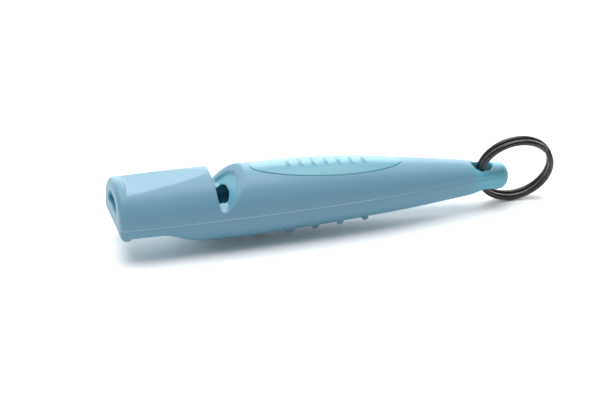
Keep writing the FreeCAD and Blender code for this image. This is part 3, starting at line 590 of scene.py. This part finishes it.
def makeUpperShell(look, material, inner):
    upper = halfBody("upperMoulding", 1)
    facet = sidePrism("facet", look["facet"], clearWide)
    shape(facet, beadSolid(look))
    shape(upper, facet)
    shape(upper, sidePrism("notch", roundedLine(look["notch"], look["notchRound"]), clearWide))
    # dished recess in the ramp
    wedge = [(21.0, 2.0), (22.3, 1.5), (27.0 + look["rampInset"], 7.65 - look["rampInset"]),
             (31.0, 11.8), (21.0, 11.8)]
    recess = bodySkin("recess", 14.0, 33.0, grow=-look["rampRim"])
    shape(recess, sidePrism("wedge", wedge, look["rampHalf"]), "INTERSECT")
    shape(upper, recess)
    shape(upper, padSolid("padSeat", padShape["gap"], 1.5, -look["padSeat"] - 0.02))
    soften(upper, look["voxel"], 2, aroundRamp, 14)
    # air way and chamber, cut through the eased skin
    shape(upper, skinRings("slot", [slotRing(*look["slotMouth"]), slotRing(*look["slotExit"])]), quick=True)
    shape(upper, sidePrism("blockSpace", look["blockSpace"], look["blockHalf"]), quick=True)
    window = [eggRing(look[end], look) for end in ("windowFrom", "windowTo")]
    shape(upper, skinRings("window", window), quick=True)
    shape(upper, sidePrism("underRoof", look["underRoof"], look["underRoofHalf"]), quick=True)
    shape(upper, turnedAlong("chamber", look["chamber"]), quick=True)
    shape(upper, eyeTool("eye"), quick=True)
    soften(upper, look["voxel"], look["ease"], aroundEye, 16)
    finishPiece(upper, "upper_shell", "whistle", material, inner, smoothHere)
    return upper


padShape = {
    "middle": 43.7, "half": 15.7, "halfWide": 4.4, "gap": -0.24, "proud": 0.02, "thick": 0.7,
    "ribs": 7, "ribPitch": 2.6, "ribWide": 0.9, "ribHalf": 2.2, "ribProud": 0.3, "ribFoot": 0.25,
    "voxel": 0.12, "ease": 3,
}


def padSolid(name, gap, over, under):
    # oval plate that follows the crown of the body, from under to over (mm from its surface)
    look = padShape
    turns = 120
    rings = 26
    bm = bmesh.new()
    layers = []
    for grow in (over, under):
        layer = []
        for ring in range(rings + 1):
            share = ring / rings
            spots = []
            for step in range(turns):
                turn = 2 * math.pi * step / turns
                along = look["middle"] + (look["half"] + gap) * share * math.cos(turn)
                y = (look["halfWide"] + gap) * share * math.sin(turn)
                spots.append(Vector((mouthX + along * mm, y * mm, crownAt(along, y, grow))))
            layer.append(spots)
        layers.append(layer)
    loops = [[bm.verts.new(spot) for spot in ring] for ring in layers[0][1:]]
    loops.append([bm.verts.new(spot) for spot in layers[1][-1]])
    loops += [[bm.verts.new(spot) for spot in ring] for ring in layers[1][-2:0:-1]]
    for first, second in zip(loops, loops[1:]):
        for index in range(turns):
            after = (index + 1) % turns
            bm.faces.new((first[index], second[index], second[after], first[after]))
    bm.faces.new(loops[0])
    bm.faces.new(loops[-1][::-1])
    bmesh.ops.recalc_face_normals(bm, faces=bm.faces)
    return newPiece(name, bm)


def crownAt(along, y, grow=0.0):
    wide, over, under, square = rowAt(along)
    share = min(1.0, abs(y) / (wide + grow))
    return seamZ + (over + grow) * (1 - share ** square) ** (1 / square) * mm


def makeThumbPad(look, material):
    pad = padSolid("thumbInlay", 0.0, look["proud"], -look["thick"])
    for index in range(look["ribs"]):
        step = index - (look["ribs"] - 1) / 2
        half = look["ribHalf"] * (1 - 0.03 * step * step)
        middle = look["middle"] + step * look["ribPitch"]
        rings = []
        for k in range(13):
            # rounded rib, laid across the pad
            y = -half + 2 * half * k / 12
            swell = math.sqrt(max(0.0, 1 - (y / half) ** 4))
            ring = []
            for j in range(12):
                turn = 2 * math.pi * j / 12
                spread = look["ribWide"] / 2 * (0.25 + 0.75 * swell)
                lift = look["ribProud"] * swell
                along = middle + spread * math.cos(turn)
                over = lift * math.sin(turn) if turn < math.pi else 0.0
                foot = look["ribFoot"] if turn > math.pi else 0.0
                ring.append(Vector((mouthX + along * mm, y * mm, crownAt(along, y) + (over - foot) * mm)))
            rings.append(ring)
        shape(pad, skinRings("rib", rings), "UNION")
    soften(pad, look["voxel"], look["ease"])
    finishPiece(pad, "thumb_pad", "whistle", material)
    return pad


lowerShape = {
    "voxel": 0.2, "ease": 4,
    "underside": [(-2, -1.0), (0.0, -1.1), (0.2, -1.8), (0.7, -2.4), (1.35, -2.7), (1.75, -2.6), (2.3, -2.05),
                  (2.8, -1.95), (8.6, -2.0), (10.2, -2.35), (12.0, -3.15), (13.6, -4.0), (15.7, -4.85),
                  (18.0, -5.65), (21.0, -6.6), (24.0, -7.6), (24.0, -14.0), (-2, -14.0)],
    "seat": [(1.29, -0.7), (1.29, 1.0), (21.0, 1.0), (21.0, -0.7)], "seatHalf": 4.2,
    "chamber": [(20.9, 4.7), (38.0, 4.7), (50.0, 4.0), (62.0, 2.0)],
    "studRadius": 0.78, "studPitch": 5.2, "studRow": 4.0, "studMiddle": 43.0, "studSunk": 0.06,
}


def studSpots(look):
    for side, count in ((0, 6), (-1, 4), (1, 4)):
        for index in range(count):
            step = index - (count - 1) / 2
            along, y = look["studMiddle"] + step * look["studPitch"], side * look["studRow"]
            wide, over, under, square = rowAt(along)
            z = -under * math.sqrt(1 - (y / wide) ** 2) + look["studSunk"]
            yield along, y, z


def makeLowerShell(look, material, inner):
    lower = halfBody("lowerMoulding", -1)
    shape(lower, sidePrism("underside", look["underside"], clearWide))
    shape(lower, sidePrism("seat", look["seat"], look["seatHalf"]))
    shape(lower, turnedAlong("chamber", look["chamber"]))
    shape(lower, eyeTool("eye"))
    bm = bmesh.new()
    for along, y, z in studSpots(look):
        place = Matrix.Translation((mouthX + along * mm, y * mm, seamZ + z * mm))
        bmesh.ops.create_uvsphere(bm, u_segments=24, v_segments=16, radius=look["studRadius"] * mm,
                                  matrix=place)
    soften(lower, look["voxel"], look["ease"], aroundEye, 16)
    shape(lower, newPiece("studs", bm), "UNION", quick=True)
    lower.data.polygons.foreach_set("use_smooth", [True] * len(lower.data.polygons))
    finishPiece(lower, "lower_shell", "whistle", material, inner, smoothHere)
    return lower


ringShape = {
    "x": 83.3, "y": -0.43, "z": 7.98, "radius": 7.5, "wire": 0.61, "step": 1.2, "lean": 17.0,
    "startAngle": 38.0, "turns": 1.94, "crossSpan": 24.0,
}


def makeSplitRing(look, material):
    # one wire wound nearly twice, crossing over to the second turn beside its own end
    curve = bpy.data.curves.new("ringWire", "CURVE")
    curve.dimensions = "3D"
    curve.bevel_depth = look["wire"] * mm
    curve.bevel_resolution = 6
    curve.use_fill_caps = True
    count = 220
    spline = curve.splines.new("POLY")
    spline.points.add(count)
    whole = look["turns"] * 360
    for index in range(count + 1):
        angle = whole * index / count
        cross = min(1.0, max(0.0, (angle - 360 + look["crossSpan"] * 1.15) / look["crossSpan"]))
        side = (cross * cross * (3 - 2 * cross) - 0.5) * look["step"]
        turn = math.radians(look["startAngle"] + angle)
        spline.points[index].co = (look["radius"] * mm * math.cos(turn), look["radius"] * mm * math.sin(turn),
                                   -side * mm, 1)
    ring = bpy.data.objects.new("splitRing", curve)
    scene.collection.objects.link(ring)
    graph = bpy.context.evaluated_depsgraph_get()
    mesh = bpy.data.meshes.new_from_object(ring.evaluated_get(graph))
    bpy.data.objects.remove(ring)
    ring = bpy.data.objects.new("splitRing", mesh)
    scene.collection.objects.link(ring)
    mesh.transform(Matrix.Translation((mouthX + look["x"] * mm, look["y"] * mm, look["z"] * mm))
                   @ Matrix.Rotation(math.radians(90 + look["lean"]), 4, "X"))
    mesh.polygons.foreach_set("use_smooth", [True] * len(mesh.polygons))
    finishPiece(ring, "split_ring", "ring", material)
    return ring


makeCamera(cameraSetup)
makeStudio(lightSetup)
print("studio ready")
shellPlastic = mouldedPlastic("shellPlastic", shellFinish)
smoothPlastic = mouldedPlastic("smoothPlastic", smoothFinish)
padPlastic = mouldedPlastic("padPlastic", padFinish)
ringWire = blackenedWire("ringWire", wireFinish)
makeUpperShell(upperShape, shellPlastic, smoothPlastic)
makeLowerShell(lowerShape, shellPlastic, smoothPlastic)
makeThumbPad(padShape, padPlastic)
makeSplitRing(ringShape, ringWire)
for name in ("windway_block", "chamber_plug"):
    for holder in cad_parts[name].material_slots:
        holder.material = smoothPlastic
print("whistle ready")
